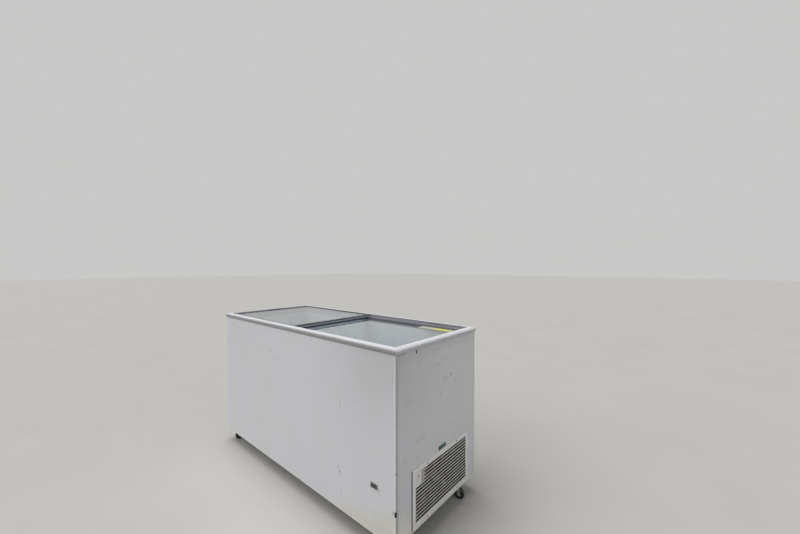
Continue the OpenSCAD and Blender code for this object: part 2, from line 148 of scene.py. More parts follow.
class Shader:
    """One material's node tree, with short calls for the nodes that the materials share."""

    def __init__(self, name):
        self.material = bpy.data.materials.new(name)
        self.material.use_nodes = True
        self.tree = self.material.node_tree
        self.tree.nodes.clear()
        self.output = self.node("ShaderNodeOutputMaterial")
        self.surface = self.node("ShaderNodeBsdfPrincipled")
        self.join(self.surface.outputs[0], self.output.inputs["Surface"])
        self.object = self.node("ShaderNodeTexCoord").outputs["Object"]

    def node(self, kind, **settings):
        made = self.tree.nodes.new(kind)
        for key, value in settings.items():
            setattr(made, key, value)
        return made

    def join(self, source, target):
        """Links an output to an input, or sets the input to a plain value."""
        if hasattr(source, "is_output"):
            self.tree.links.new(source, target)
        else:
            target.default_value = source

    def set(self, **values):
        """Sets the shader's own sockets, with _ for the spaces in their names."""
        for key, value in values.items():
            self.join(value, self.surface.inputs[key.replace("_", " ")])

    def scaled(self, scale, turn):
        mapping = self.node("ShaderNodeMapping")
        self.join(self.object, mapping.inputs["Vector"])
        mapping.inputs["Rotation"].default_value = turn
        mapping.inputs["Scale"].default_value = scale
        return mapping.outputs[0]

    def noise(self, scale, detail=3.0, rough=0.55, stretch=(1, 1, 1), turn=(0, 0, 0), distortion=0.0):
        made = self.node("ShaderNodeTexNoise")
        self.join(self.scaled(stretch, turn), made.inputs["Vector"])
        made.inputs["Scale"].default_value = scale
        made.inputs["Detail"].default_value = detail
        made.inputs["Roughness"].default_value = rough
        made.inputs["Distortion"].default_value = distortion
        return made.outputs["Fac"]

    def cells(self, scale):
        made = self.node("ShaderNodeTexVoronoi")
        self.join(self.object, made.inputs["Vector"])
        made.inputs["Scale"].default_value = scale
        return made.outputs["Distance"]

    def math(self, operation, a, b=0.0):
        made = self.node("ShaderNodeMath", operation=operation)
        self.join(a, made.inputs[0])
        self.join(b, made.inputs[1])
        return made.outputs[0]

    def times(self, *values):
        total = values[0]
        for value in values[1:]:
            total = self.math("MULTIPLY", total, value)
        return total

    def either(self, *values):
        total = values[0]
        for value in values[1:]:
            total = self.math("MAXIMUM", total, value)
        return total

    def ramp(self, value, low, high, out_low=0.0, out_high=1.0):
        """Goes smoothly from out_low at low to out_high at high, and stays there."""
        made = self.node("ShaderNodeMapRange", interpolation_type="SMOOTHSTEP")
        self.join(value, made.inputs["Value"])
        numbers = {"From Min": low, "From Max": high, "To Min": out_low, "To Max": out_high}
        for socket, number in numbers.items():
            made.inputs[socket].default_value = number
        return made.outputs[0]

    def fade(self, value, low, high):
        """1 up to low, falling to 0 at high."""
        return self.ramp(value, low, high, 1.0, 0.0)

    def within(self, value, low, high, blur):
        """1 between low and high, falling to 0 over blur just inside them."""
        return self.times(self.ramp(value, low, low + blur), self.fade(value, high - blur, high))

    def away(self, value, centre):
        return self.math("ABSOLUTE", self.math("SUBTRACT", value, centre))

    def near(self, value, centre, reach):
        """1 at centre, falling to 0 at reach on either side."""
        return self.fade(self.away(value, centre), 0.0, reach)

    def mix(self, amount, a, b):
        """Colour a, or b where amount is 1."""
        made = self.node("ShaderNodeMix", data_type="RGBA")
        # The node's sockets for two colours have the same names as those for two numbers
        socket_a, socket_b, result = 6, 7, 2
        self.join(amount, made.inputs["Factor"])
        for value, socket in ((a, socket_a), (b, socket_b)):
            self.join((*value, 1.0) if isinstance(value, tuple) else value, made.inputs[socket])
        return made.outputs[result]

    def split(self, vector):
        made = self.node("ShaderNodeSeparateXYZ")
        self.join(vector, made.inputs[0])
        return made.outputs

    def place(self):
        return self.split(self.object)

    def normal(self):
        return self.split(self.node("ShaderNodeNewGeometry").outputs["Normal"])

    def from_line(self, point, direction):
        """How far the surface is from the line through point along direction."""
        arm = self.node("ShaderNodeVectorMath", operation="SUBTRACT")
        self.join(self.object, arm.inputs[0])
        arm.inputs[1].default_value = point
        turned = self.node("ShaderNodeVectorMath", operation="CROSS_PRODUCT")
        self.join(arm.outputs[0], turned.inputs[0])
        turned.inputs[1].default_value = direction
        length = self.node("ShaderNodeVectorMath", operation="LENGTH")
        self.join(turned.outputs[0], length.inputs[0])
        return length.outputs["Value"]

    def spots(self, along, up, marks):
        """The marks of one side as one mask, each an ellipse with a ragged edge."""
        ragged = self.ramp(self.noise(110.0, 4.0, 0.7), 0.25, 0.75, -0.45, 0.45)
        masks = []
        for centre, reach, strength in marks:
            across = self.math("DIVIDE", self.math("SUBTRACT", along, centre[0]), reach[0])
            rise = self.math("DIVIDE", self.math("SUBTRACT", up, centre[1]), reach[1])
            far = self.math("ADD", self.times(across, across), self.times(rise, rise))
            masks.append(self.ramp(self.math("ADD", far, ragged), 0.2, 1.2, strength, 0.0))
        return self.either(*masks)

    def soft_edges(self, radius):
        made = self.node("ShaderNodeBevel", samples=4)
        made.inputs["Radius"].default_value = radius
        return made.outputs[0]

    def bump(self, height, distance, strength=1.0, below=None):
        """A bump of the given height mask, over another normal where below is given."""
        made = self.node("ShaderNodeBump")
        self.join(height, made.inputs["Height"])
        made.inputs["Distance"].default_value = distance
        made.inputs["Strength"].default_value = strength
        if below is not None:
            self.join(below, made.inputs["Normal"])
        return made.outputs[0]


# Painted sheets. Each add_ step takes the colour so far and adds one more layer to it: wear and marks,
# painted shade and painted highlights.


def cloudy_white(s, clouds):
    cool, warm = (0.735, 0.75, 0.775), (0.76, 0.75, 0.765)
    colour = s.mix(s.ramp(s.noise(1.7, 3.0), 0.3, 0.7, 0.0, 0.6), WHITE_PAINT, cool)
    return s.mix(s.ramp(clouds, 0.35, 0.7, 0.0, 0.4), colour, warm)


def add_scratches(s, colour):
    """Smudges and thin scratches in patches, and a few dark nicks."""
    smudge_grey, scratch_grey, nick_brown = (0.50, 0.50, 0.50), (0.42, 0.42, 0.42), (0.13, 0.12, 0.11)
    patches = s.ramp(s.noise(3.1, 2.0), 0.45, 0.7)
    smudge = s.ramp(s.noise(8.0, 6.0, 0.7, stretch=(0.7, 0.7, 1.8)), 0.56, 0.76)
    colour = s.mix(s.times(smudge, patches, 0.30), colour, smudge_grey)
    level = s.noise(5.0, 5.0, 0.6, stretch=(0.5, 0.5, 22.0), distortion=0.5)
    sloping = s.noise(5.0, 4.0, 0.6, stretch=(0.6, 0.6, 26.0), turn=(0.5, 0.5, 0.0))
    lines = s.either(s.ramp(level, 0.690, 0.705), s.ramp(sloping, 0.700, 0.712))
    colour = s.mix(s.times(lines, patches, 0.40), colour, scratch_grey)
    nicks = s.ramp(s.noise(95.0, 2.0, 0.5, stretch=(1.0, 1.0, 0.45)), 0.75, 0.78)
    rare = s.ramp(s.noise(9.0, 2.0), 0.60, 0.68)
    return s.mix(s.times(nicks, rare, 0.9), colour, nick_brown)


def low_stains(s, x, along, height, lengthwise):
    """The mask of the stains along the foot, which climb towards the machine end's front corner."""
    if lengthwise:
        reach = s.ramp(x, HALF_X - 0.55, HALF_X, 0.0, 0.150)
    else:
        reach = s.ramp(along, 0.08, 0.30, 0.125, 0.0)
    uneven = s.ramp(s.noise(11.0, 5.0, 0.65), 0.25, 0.75, 0.0, 0.06)
    share = s.math("DIVIDE", s.math("ADD", height, uneven), s.math("ADD", reach, 0.004))
    return s.fade(share, 0.6, 1.15)


def add_stains(s, colour, low, height, lengthwise):
    """Yellow stains and grime low down, a painted highlight on the hem, and dirt along the foot."""
    hem_highlight_white = (0.90, 0.90, 0.88)
    stain, grime_share = (STAIN_LONG, 0.22) if lengthwise else (STAIN_END, 0.12)
    blotch = s.ramp(s.noise(26.0, 5.0, 0.7), 0.45, 0.72)
    colour = s.mix(s.times(low, 0.85), colour, stain)
    colour = s.mix(s.times(low, blotch, grime_share), colour, GRIME)
    # Painted highlight where the bottom hem catches the light
    hem = s.fade(height, 0.0025, 0.0045)
    colour = s.mix(s.times(hem, 0.8), colour, hem_highlight_white)
    foot = s.fade(height, 0.004, 0.016)
    dirt = s.ramp(s.noise(55.0, 4.0, 0.7, stretch=(0.4, 0.4, 1.0)), 0.52, 0.66)
    return s.mix(s.times(foot, dirt, 0.35), colour, GRIME)


def add_painted_shade(s, colour, x, z, along, height, lengthwise):
    """Painted shade, strongest under the rim and towards the machine end's front corner."""
    shade_under_rim = s.ramp(height, 0.30, PANEL_TOP - BODY_BOTTOM, 0.15, 1.0)
    uneven = s.ramp(s.noise(6.0, 4.0, 0.6), 0.3, 0.7, 0.75, 1.0)
    if lengthwise:
        shade_beside_end = s.ramp(x, HALF_X - 0.60, HALF_X - 0.02)
    else:
        shade_beside_end = s.ramp(along, 0.0, 0.36, 1.0, 0.15)
    colour = s.mix(s.times(shade_beside_end, shade_under_rim, uneven, 0.42), colour, PAINTED_SHADE_GREY)
    if not lengthwise:
        shade_close_under = s.ramp(z, PANEL_TOP - 0.060, PANEL_TOP - 0.012)
        colour = s.mix(s.times(shade_close_under, uneven, 0.26), colour, PAINTED_SHADE_GREY)
    return colour


def add_corner_wear(s, colour, x, y, z, lengthwise):
    """Rubbed spots on the folded corners, a dull return next to a painted highlight, and chips down one
    corner.
    """
    highlight_white, dull_grey, chip_black = (0.90, 0.90, 0.92), (0.38, 0.37, 0.37), (0.02, 0.018, 0.016)
    side_x, side_y = s.math("ABSOLUTE", x), s.math("ABSOLUTE", y)
    rubbed = s.ramp(s.noise(40.0, 4.0, 0.7), 0.54, 0.64)
    corner = s.times(s.near(side_x, HALF_X, 0.007), s.near(side_y, HALF_Y, 0.006))
    colour = s.mix(s.times(corner, rubbed, 0.5), colour, DUST)
    if lengthwise:
        # Painted highlight along the rounded corner near each end of a long side
        edge = s.ramp(side_x, HALF_X - 0.014, HALF_X - 0.006)
        colour = s.mix(s.times(edge, 0.35), colour, highlight_white)
        on_return = s.ramp(side_x, HALF_X - 0.0012, HALF_X - 0.0004)
        dull = s.ramp(s.math("SUBTRACT", HALF_Y, side_y), 0.004, 0.012, 0.95, 0.40)
        worn = s.ramp(s.noise(14.0, 4.0, 0.6), 0.3, 0.7, 0.85, 1.0)
        in_front = s.fade(y, -0.01, 0.01)
        colour = s.mix(s.times(on_return, dull, worn, in_front), colour, dull_grey)
    chipped_x = s.ramp(x, HALF_X - 0.008, HALF_X - 0.005)
    chipped_y = s.fade(y, 0.006 - HALF_Y, 0.009 - HALF_Y)
    for height, half, strength in CORNER_CHIPS:
        chip = s.ramp(s.away(z, height), half * 0.6, half, strength, 0.0)
        colour = s.mix(s.times(chipped_x, chipped_y, chip), colour, chip_black)
    return colour


def add_grille_shadow_and_streak(s, colour, along, z):
    """A painted shadow line down the grille's front edge, and a brown streak high up beside the front
    corner.
    """
    shadow_line_black, streak_brown = (0.15, 0.145, 0.14), (0.36, 0.27, 0.15)
    # Painted shadow beside the grille's proud frame
    beside = s.near(along, GRILLE_LOW.y + HALF_Y - 0.0012, 0.004)
    under_top = s.fade(z, GRILLE_HIGH.z - 0.002, GRILLE_HIGH.z + 0.001)
    colour = s.mix(s.times(beside, under_top, 0.85), colour, shadow_line_black)
    streak = s.times(s.near(along, 0.0165, 0.0025), s.near(z, 0.66, 0.12))
    return s.mix(s.times(streak, 0.55), colour, streak_brown)


def painted_sheet(name, outward, marks):
    """White prepainted sheet with a side's wear and marks, painted shade and highlights, and grey primer on
    its inner face.
    """
    s = Shader(name)
    x, y, z = s.place()
    lengthwise = outward.y != 0
    along = s.math("SUBTRACT", HALF_X, x) if lengthwise else s.math("ADD", HALF_Y, y)
    height = s.math("SUBTRACT", z, BODY_BOTTOM)
    clouds = s.noise(5.5, 4.0)
    low = low_stains(s, x, along, height, lengthwise)

    colour = cloudy_white(s, clouds)
    colour = add_scratches(s, colour)
    colour = s.mix(s.spots(along, z, marks), colour, SCUFF)
    colour = add_stains(s, colour, low, height, lengthwise)
    colour = add_painted_shade(s, colour, x, z, along, height, lengthwise)
    colour = add_corner_wear(s, colour, x, y, z, lengthwise)
    if outward.x > 0:
        colour = add_grille_shadow_and_streak(s, colour, along, z)
    facing = s.normal()
    toward = s.math("ADD", s.times(facing[0], outward.x), s.times(facing[1], outward.y))
    colour = s.mix(s.fade(toward, -0.7, -0.3), colour, PRIMER)

    roughness = s.math("ADD", s.ramp(clouds, 0.2, 0.8, 0.33, 0.43), s.times(low, 0.12))
    s.set(Base_Color=colour, Roughness=roughness, IOR=1.5)
    dented = s.bump(s.noise(3.0, 1.0), 0.0015, 0.5)
    s.set(Normal=s.bump(s.noise(420.0, 2.0), 0.00006, 0.6, below=dented))
    return s.material


# Other materials


def rim_plastic():
    """White on top with painted shade under the nose outside, grey tracks inside, and a dark line at each
    mitre.
    """
    shade, scuffed, speck_brown = (0.84, 0.845, 0.885), (0.45, 0.45, 0.46), (0.25, 0.23, 0.20)
    knock_black, mitre_black = (0.10, 0.095, 0.09), (0.12, 0.11, 0.10)
    track_shade, track_worn = (0.34, 0.34, 0.37), (0.14, 0.14, 0.15)
    s = Shader("rim_plastic")
    x, y, z = s.place()
    from_end = s.math("SUBTRACT", HALF_X, s.math("ABSOLUTE", x))
    from_side = s.math("SUBTRACT", HALF_Y, s.math("ABSOLUTE", y))
    inward = s.math("MINIMUM", from_end, from_side)

    # Painted shade: the nose turns grey below its line where it faces down, more softly on the long sides
    uneven = s.ramp(s.noise(30.0, 5.0, 0.7), 0.3, 0.7, -0.0008, 0.0008)
    level = s.math("ADD", z, uneven)
    nose_shade_end = s.fade(level, NOSE_END_SHADE_LINE - 0.0035, NOSE_END_SHADE_LINE + 0.0035)
    nose_shade_long = s.fade(level, NOSE_LONG_SHADE_LINE - 0.005, NOSE_LONG_SHADE_LINE + 0.005)
    outer = s.fade(inward, 0.004, 0.006)
    on_long = s.ramp(s.math("SUBTRACT", from_end, from_side), 0.0, 0.001)
    on_end = s.math("SUBTRACT", 1.0, on_long)
    white = s.mix(s.ramp(s.noise(9.0, 4.0), 0.3, 0.7, 0.0, 0.5), RIM_WHITE, shade)
    white = s.mix(s.times(nose_shade_end, outer, on_end), white, NOSE_END_SHADE_GREY)
    white = s.mix(s.times(nose_shade_long, outer, on_long), white, NOSE_LONG_SHADE_GREY)

    scuff = s.ramp(s.noise(16.0, 5.0, 0.65, stretch=(1.0, 1.0, 4.0)), 0.62, 0.70)
    white = s.mix(s.times(scuff, 0.28), white, scuffed)
    specks = s.times(s.ramp(s.noise(150.0, 2.0), 0.70, 0.74), s.ramp(s.noise(14.0, 2.0), 0.5, 0.6))
    white = s.mix(s.times(specks, 0.6), white, speck_brown)
    on_front = s.fade(y, -HALF_Y, 0.002 - HALF_Y)
    knock = s.times(s.near(x, HALF_X - 0.082, 0.006), on_front, s.near(z, RIM_TOP - 0.015, 0.005))
    white = s.mix(s.times(knock, 0.8), white, knock_black)

    grey = s.mix(s.ramp(s.noise(22.0, 4.0), 0.3, 0.7, 0.0, 0.6), TRACK_GREY, track_shade)
    worn = s.ramp(s.noise(12.0, 4.0, 0.6, stretch=(0.2, 1.0, 1.0)), 0.5, 0.7)
    grey = s.mix(s.times(worn, 0.35), grey, track_worn)
    inside = s.ramp(inward, RIM_INNER - 0.0006, RIM_INNER - 0.0001)
    colour = s.mix(inside, white, grey)
    mitre = s.near(s.math("SUBTRACT", from_end, from_side), 0.0, 0.0007)
    colour = s.mix(s.times(mitre, 0.75), colour, mitre_black)
    s.set(Base_Color=colour, Roughness=s.ramp(inside, 0.0, 1.0, 0.30, 0.48))
    s.set(Normal=s.bump(s.noise(160.0, 2.0), 0.00008, 0.5, below=s.soft_edges(0.0012)))
    return s.material


def rail_plastic(name, line=None, under_line=PALE_RAIL):
    """Dark grey extruded rails, rubbed, with dust and painted sheen on top, and in the colour under_line
    below the height of line.
    """
    rubbed_grey, dust_and_sheen_grey = (0.17, 0.175, 0.195), (0.26, 0.26, 0.28)
    s = Shader(name)
    rubbed = s.ramp(s.noise(18.0, 5.0, 0.7, stretch=(0.3, 1.0, 1.0)), 0.5, 0.75)
    colour = s.mix(s.times(rubbed, 0.5), RAIL_GREY, rubbed_grey)
    # Dust and painted sheen on the upward faces
    dusty = s.times(s.ramp(s.normal()[2], 0.8, 0.98), s.ramp(s.noise(45.0, 5.0, 0.7), 0.4, 0.7))
    colour = s.mix(s.times(dusty, 0.35), colour, dust_and_sheen_grey)
    if line is not None:
        z = s.place()[2]
        colour = s.mix(s.ramp(z, line - 0.001, line + 0.001, 0.9, 0.0), colour, under_line)
    s.set(Base_Color=colour, Roughness=s.ramp(s.noise(50.0), 0.3, 0.7, 0.36, 0.52))
    ribs = s.noise(300.0, 2.0, stretch=(0.1, 1.0, 1.0))
    s.set(Normal=s.bump(ribs, 0.00006, 0.6, below=s.soft_edges(0.0008)))
    return s.material


def grille_plastic():
    """White moulded grille, yellowed a little, with dust on its blades, painted shade between and behind
    them, a painted highlight along its top and painted shade on its front side.
    """
    yellowed, fluff_brown, speck_brown = (0.84, 0.81, 0.76), (0.42, 0.39, 0.34), (0.16, 0.14, 0.12)
    blank_brown, hole_black = (0.17, 0.155, 0.14), (0.05, 0.05, 0.05)
    front_side_shade, foot_yellow = (0.09, 0.08, 0.07), (0.62, 0.57, 0.45)
    clean_edge = 0.012
    s = Shader("grille_plastic")
    x, y, z = s.place()
    along = s.math("ADD", HALF_Y, y)
    facing = s.normal()
    front = GRILLE_HIGH.x
    colour = s.mix(s.ramp(s.noise(25.0, 5.0, 0.6), 0.3, 0.7, 0.0, 0.5), GRILLE_WHITE, yellowed)

    # The blades lie a little behind the frame and hold the dust
    across = s.within(y, GRILLE_LOW.y + clean_edge, GRILLE_HIGH.y - clean_edge, 0.001)
    upward = s.within(z, GRILLE_LOW.z + clean_edge, GRILLE_HIGH.z - clean_edge, 0.001)
    recessed = s.times(s.fade(x, front - 0.0012, front - 0.0009), across, upward)
    fluff = s.ramp(s.noise(60.0, 5.0, 0.7, stretch=(1.0, 0.5, 1.0)), 0.35, 0.65, 0.35, 0.8)
    colour = s.mix(s.times(recessed, fluff), colour, fluff_brown)

    # A darker strip at the blank plate's far edge, its hole, and specks
    above_low = s.ramp(z, BLANK_DARK_STRIP_LOW, BLANK_DARK_STRIP_LOW + 0.006)
    below_top = s.fade(z, BLANK_DARK_STRIP_TOP - 0.004, BLANK_DARK_STRIP_TOP)
    on_blank = s.times(s.near(along, BLANK_DARK_STRIP, 0.014), above_low, below_top)
    colour = s.mix(s.times(on_blank, 0.75), colour, blank_brown)
    hole_middle = (front, BLANK_HOLE[0] - HALF_Y, BLANK_HOLE[1])
    hole = s.fade(s.from_line(hole_middle, (1, 0, 0)), 0.0030, 0.0046)
    colour = s.mix(s.times(hole, 0.9), colour, hole_black)
    specks = s.times(s.ramp(s.noise(230.0, 3.0, 0.6), 0.66, 0.72), s.ramp(s.noise(20.0, 3.0), 0.45, 0.6))
    colour = s.mix(s.times(specks, 0.7), colour, speck_brown)

    # Painted shade between and behind the blades, a painted highlight along the top edge, painted shade on
    # the front side wall, and a yellow foot
    behind = s.times(s.fade(x, front - 0.0035, front - 0.0018), across, upward)
    shade_turned_away = s.times(recessed, s.fade(facing[0], 0.25, 0.7))
    colour = s.mix(s.either(behind, shade_turned_away), colour, SOOT_AND_SHADE)
    top_highlight = s.times(s.ramp(facing[2], 0.6, 0.9), s.ramp(z, GRILLE_HIGH.z - 0.002, GRILLE_HIGH.z - 0.001))
    colour = s.mix(top_highlight, colour, GRILLE_WHITE)
    at_front_edge = s.fade(y, GRILLE_LOW.y + 0.002, GRILLE_LOW.y + 0.004)
    shaded_front_side = s.times(s.fade(facing[1], -0.9, -0.6), at_front_edge)
    colour = s.mix(s.times(shaded_front_side, 0.8), colour, front_side_shade)
    low = s.ramp(z, GRILLE_LOW.z, GRILLE_LOW.z + 0.05, 0.30, 0.0)
    colour = s.mix(s.times(low, s.ramp(s.noise(30.0, 5.0), 0.3, 0.7)), colour, foot_yellow)
    s.set(Base_Color=colour, Roughness=s.ramp(s.noise(70.0), 0.3, 0.7, 0.42, 0.55))
    s.set(Normal=s.bump(s.noise(500.0, 3.0), 0.00008, 0.7, below=s.soft_edges(0.0008)))
    return s.material


def lid_glass():
    """Clear toughened glass that lets lamps through, with smears in its roughness."""
    pale_blue, lamp_tint = (0.93, 0.965, 0.975, 1.0), (0.86, 0.90, 0.91, 1.0)
    s = Shader("lid_glass")
    smear = s.ramp(s.noise(5.0, 6.0, 0.7, stretch=(0.5, 1.0, 1.0)), 0.45, 0.8, 0.01, 0.07)
    s.set(Base_Color=pale_blue, Roughness=smear, IOR=1.45, Transmission_Weight=1.0)
    clear = s.node("ShaderNodeBsdfTransparent")
    clear.inputs["Color"].default_value = lamp_tint
    rays = s.node("ShaderNodeLightPath")
    through = s.either(rays.outputs["Is Shadow Ray"], rays.outputs["Is Diffuse Ray"])
    mixed = s.node("ShaderNodeMixShader")
    s.join(through, mixed.inputs[0])
    s.join(s.surface.outputs[0], mixed.inputs[1])
    s.join(clear.outputs[0], mixed.inputs[2])
    s.join(mixed.outputs[0], s.output.inputs["Surface"])
    return s.material


def liner_coat():
    """White coated aluminium with a stucco emboss, hoar frost up its walls and scuffs near the floor."""
    pale_blue, shade = (0.68, 0.71, 0.76), (0.56, 0.60, 0.67)
    scuffed, frost_white = (0.42, 0.42, 0.41), (0.86, 0.89, 0.93)
    s = Shader("liner_coat")
    z = s.place()[2]
    colour = s.mix(s.ramp(s.noise(3.0, 4.0), 0.3, 0.7, 0.0, 0.6), pale_blue, shade)
    low = s.ramp(z, 0.15, 0.34, 0.6, 0.0)
    colour = s.mix(s.times(low, s.ramp(s.noise(12.0, 5.0, 0.6), 0.35, 0.7)), colour, scuffed)
    uneven = s.ramp(s.noise(9.0, 5.0, 0.7), 0.3, 0.7, -0.12, 0.12)
    frost_edge = s.ramp(s.math("ADD", z, uneven), 0.55, 0.80)
    frost = s.times(frost_edge, s.ramp(s.noise(38.0, 6.0, 0.8), 0.40, 0.62))
    colour = s.mix(s.times(frost, 0.65), colour, frost_white)
    s.set(Base_Color=colour, Roughness=s.ramp(frost, 0.0, 1.0, 0.32, 0.75))
    stucco = s.bump(s.noise(150.0, 1.0, 0.4), 0.0004, 0.6)
    s.set(Normal=s.bump(s.times(frost, s.noise(260.0, 4.0, 0.8)), 0.0012, 0.7, below=stucco))
    return s.material


def plated_steel(name, colour, dark, metallic):
    """Zinc or galvanised steel with spangle and floor dust, and soot with painted shade on upward faces in
    the machine bay.
    """
    s = Shader(name)
    x, _, z = s.place()
    base = s.mix(s.ramp(s.cells(90.0), 0.0, 0.6, 0.0, 0.35), colour, dark)
    worn = s.ramp(s.noise(35.0, 5.0, 0.7), 0.45, 0.7)
    base = s.mix(s.times(worn, 0.45), base, DUST)
    in_bay = s.ramp(x, BAY_X - 0.001, BAY_X)
    faces_up = s.ramp(s.normal()[2], 0.5, 0.9)
    in_body = s.ramp(z, BODY_BOTTOM, BODY_BOTTOM + 0.001)
    base = s.mix(s.times(in_bay, faces_up, in_body), base, SOOT_AND_SHADE)
    roughness = s.ramp(s.noise(60.0, 4.0), 0.3, 0.7, 0.32, 0.55)
    s.set(Base_Color=base, Metallic=metallic, Roughness=roughness)
    s.set(Normal=s.bump(s.noise(220.0, 3.0), 0.00005, 0.8, below=s.soft_edges(0.0006)))
    return s.material


def black_steel():
    """Black painted channel, chipped and dusty."""
    black, dusty, chipped = (0.022, 0.022, 0.024), (0.09, 0.08, 0.07), (0.20, 0.17, 0.14)
    s = Shader("black_steel")
    chips = s.ramp(s.noise(70.0, 5.0, 0.7), 0.63, 0.67)
    base = s.mix(s.times(s.ramp(s.noise(12.0, 5.0), 0.4, 0.7), 0.6), black, dusty)
    base = s.mix(chips, base, chipped)
    s.set(Base_Color=base, Roughness=s.ramp(s.noise(40.0), 0.3, 0.7, 0.40, 0.62))
    s.set(Normal=s.bump(s.noise(260.0, 3.0), 0.0001, 0.7))
    return s.material


def wheel_rubber(corner):
    """A black solid wheel: a greyer hub, a dusty web and a tread scuffed by the floor."""
    black, dusty = (0.016, 0.016, 0.018), (0.07, 0.065, 0.06)
    hub_grey, tread_grey = (0.075, 0.075, 0.08), (0.17, 0.155, 0.13)
    # The radii over which the hub ends and the tread begins
    hub_edge, tread_edge = (0.0095, 0.0105), (0.0215, 0.0242)
    s = Shader("wheel_rubber_" + corner)
    roll = JOINTS[f"castor_{corner}_roll"]
    radius = s.from_line(roll["pos_m"], roll["axis"])
    worn = s.ramp(s.noise(60.0, 5.0, 0.7), 0.42, 0.7)
    colour = s.mix(s.times(worn, 0.5), black, dusty)
    colour = s.mix(s.fade(radius, *hub_edge), colour, hub_grey)
    colour = s.mix(s.times(s.ramp(radius, *tread_edge), worn, 0.8), colour, tread_grey)
    s.set(Base_Color=colour, Roughness=s.ramp(s.noise(80.0), 0.3, 0.7, 0.45, 0.72))
    s.set(Normal=s.bump(s.noise(350.0, 3.0), 0.0001, 0.8, below=s.soft_edges(0.0008)))
    return s.material


def display_plastic():
    """A smooth dark lens in a pale and slightly rougher bezel."""
    bezel_white, lens_black, dirt_brown = (0.66, 0.66, 0.64), (0.026, 0.024, 0.015), (0.16, 0.15, 0.12)
    # How far in front of the sheet the bezel's look ends and the lens's begins
    bezel_out, lens_out = 0.0012, 0.0004
    s = Shader("display_plastic")
    y = s.place()[1]
    lens = s.ramp(y, -HALF_Y - bezel_out, -HALF_Y - lens_out)
    colour = s.mix(lens, bezel_white, lens_black)
    dirt = s.ramp(s.noise(90.0, 4.0), 0.45, 0.75)
    colour = s.mix(s.times(dirt, 0.20), colour, dirt_brown)
    s.set(Base_Color=colour, Roughness=s.ramp(lens, 0.0, 1.0, 0.42, 0.10))
    s.set(Normal=s.bump(s.noise(300.0, 2.0), 0.00004, 0.5))
    return s.material


def foam():
    """Rigid yellow foam, near black with soot and painted shade where it lines the machine bay."""
    yellow, ochre, soot_and_shade_film = (0.72, 0.62, 0.36), (0.60, 0.50, 0.27), (0.04, 0.036, 0.03)
    s = Shader("foam")
    x, _, z = s.place()
    colour = s.mix(s.ramp(s.noise(60.0, 4.0), 0.3, 0.7), yellow, ochre)
    in_bay = s.times(s.ramp(x, BAY_X - 0.002, BAY_X - 0.001), s.fade(z, BAY_TOP + 0.001, BAY_TOP + 0.002))
    bay_soot_and_shade = s.mix(s.ramp(s.noise(40.0, 4.0), 0.3, 0.7), SOOT_AND_SHADE, soot_and_shade_film)
    s.set(Base_Color=s.mix(in_bay, colour, bay_soot_and_shade), Roughness=0.85)
    s.set(Normal=s.bump(s.noise(700.0, 3.0), 0.0004, 0.8))
    return s.material


def plain_label(name, colour, faded, axis, bands):
    """A plain coloured sticker, faded in patches, that changes colour along one axis, band by band."""
    worn_grey = (0.55, 0.54, 0.50)
    s = Shader(name)
    patch = s.ramp(s.noise(40.0, 5.0, 0.65), 0.35, 0.7)
    base = s.mix(s.times(patch, 0.7), colour, faded)
    for start, end, after in bands:
        base = s.mix(s.times(s.ramp(s.place()[axis], start, end), 0.88), base, after)
    worn = s.ramp(s.noise(170.0, 4.0, 0.7), 0.62, 0.68)
    base = s.mix(s.times(worn, 0.35), base, worn_grey)
    s.set(Base_Color=base, Roughness=s.ramp(patch, 0.0, 1.0, 0.35, 0.5))
    s.set(Normal=s.bump(s.noise(60.0, 3.0), 0.0003, 0.6))
    return s.material


def small_metal(name, colour, dark, metallic):
    """Screw and nut metal, darker in fine random patches."""
    s = Shader(name)
    base = s.mix(s.ramp(s.noise(400.0, 3.0), 0.35, 0.7), colour, dark)
    s.set(Base_Color=base, Metallic=metallic, Roughness=s.ramp(s.noise(300.0), 0.3, 0.7, 0.3, 0.5))
    s.set(Normal=s.bump(s.noise(900.0, 2.0), 0.00003, 0.7))
    return s.material


def soft_rubber(name, clean, dusty):
    """Soft rubber of the seals, the lip and the plug, greyed by dust."""
    s = Shader(name)
    bloom = s.ramp(s.noise(70.0, 5.0, 0.7), 0.45, 0.7)
    colour = s.mix(s.times(bloom, 0.5), clean, dusty)
    s.set(Base_Color=colour, Roughness=s.ramp(bloom, 0.0, 1.0, 0.5, 0.8))
    s.set(Normal=s.bump(s.noise(420.0, 3.0), 0.0001, 0.6))
    return s.material


